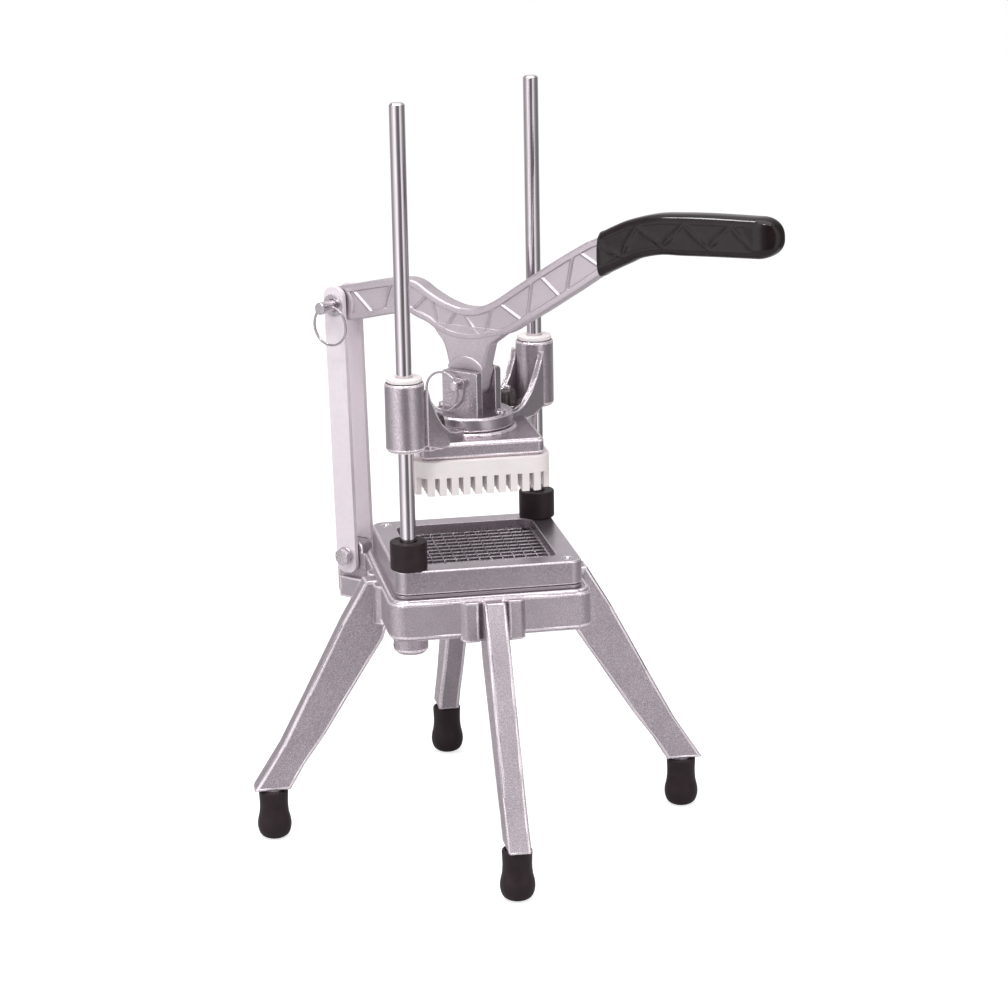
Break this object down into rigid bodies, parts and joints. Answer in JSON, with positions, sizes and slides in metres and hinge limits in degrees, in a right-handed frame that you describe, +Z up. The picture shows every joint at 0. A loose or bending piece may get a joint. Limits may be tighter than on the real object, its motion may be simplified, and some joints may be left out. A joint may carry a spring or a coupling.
{
  "type": "potato chip cutter",
  "caption": "Hand lever potato chip cutter: four-legged cast stand, square blade grid, toothed pusher block on twin guide rods, long grip lever with link bars.",
  "frame": {"origin": "on the floor, under the middle of the outline box; the middle of the blade grid and the two guide rods stand 72.5 mm toward -X from it", "axes": "+Z up along the guide rods, +X toward the lever's grip, the rods stand at plus and minus Y, and the lever swings in the XZ plane"},
  "size_m": [0.4302, 0.2784, 0.6137],
  "materials": {
    "cast_aluminium": "sand cast, fine grain with a faint sparkle",
    "machined_aluminium": "polished",
    "bar_steel": "pale, satin",
    "bright_steel": "polished",
    "blade_steel": "ground",
    "dark_metal": "dark satin",
    "rubber": "dark, slightly brown",
    "grip_vinyl": "glossy dip coating",
    "nylon": "white, satin"
  },
  "bodies": {
    "base": {"base_casting": "cast_aluminium", "foot_front_right": "rubber", "foot_rear_right": "rubber", "foot_rear_left": "rubber", "foot_front_left": "rubber", "clamp_plate": "machined_aluminium", "blade_frame": "cast_aluminium", "blade_set_notched": "blade_steel", "blade_set_slim": "blade_steel", "guide_rod_near": "bright_steel", "guide_rod_far": "bright_steel", "stop_collar_near": "rubber", "stop_collar_far": "rubber", "rod_set_screw_near": "bright_steel", "rod_set_screw_far": "bright_steel", "frame_screw_link_side": "bright_steel", "frame_screw_grip_side": "bright_steel"},
    "head": {"head_casting": "cast_aluminium", "clevis": "machined_aluminium", "clevis_screw_link_side": "bright_steel", "clevis_screw_grip_side": "bright_steel", "pusher_block": "nylon", "upper_bushing_near": "nylon", "upper_bushing_far": "nylon", "lower_bushing_near": "nylon", "lower_bushing_far": "nylon", "pusher_stud_near": "bright_steel", "pusher_stud_far": "bright_steel", "pusher_washer_near": "bright_steel", "pusher_washer_far": "bright_steel", "thumb_nut_near": "dark_metal", "thumb_nut_far": "dark_metal", "cross_pin": "bright_steel"},
    "lever_body": {"lever": "cast_aluminium", "lever_grip": "grip_vinyl"},
    "link": {"link_bar_near": "bar_steel", "link_bar_far": "bar_steel", "link_foot_bolt": "bright_steel", "link_foot_nut": "bright_steel", "link_foot_washer": "bright_steel", "tail_pin": "bright_steel", "tail_pin_tip": "bright_steel", "tail_pin_washer": "bright_steel"},
    "tail_ring": {"tail_pin_ring": "bright_steel"},
    "cross_ring": {"cross_pin_ring": "bright_steel"}
  },
  "joints": [
    {"name": "head_slide", "type": "slide", "parent": "base", "child": "head", "axis": [0, 0, 1], "range_m": [-0.0733, 0.05]},
    {"name": "lever_pivot", "type": "hinge", "parent": "head", "child": "lever_body", "pos_m": [-0.0725, 0, 0.3785], "axis": [0, -1, 0], "range_deg": [-32.25, 22]},
    {"name": "link_swing", "type": "hinge", "parent": "base", "child": "link", "pos_m": [-0.1965, 0, 0.215], "axis": [0, -1, 0], "range_deg": [-9.68, 6.6]},
    {"name": "tail_ring_swing", "type": "hinge", "parent": "link", "child": "tail_ring", "pos_m": [-0.2013, -0.0274, 0.4292], "axis": [-0.8912, 0, -0.4536], "range_deg": [-18, 90]},
    {"name": "cross_ring_swing", "type": "hinge", "parent": "head", "child": "cross_ring", "pos_m": [-0.0725, -0.0214, 0.3785], "axis": [-0.4228, 0, 0.9062], "range_deg": [-5, 85]}
  ],
  "couplings": [
    {"joint": "lever_pivot", "follows": "head_slide", "rad_per_m": 7.6794},
    {"joint": "link_swing", "follows": "head_slide", "rad_per_m": 2.3038}
  ]
}
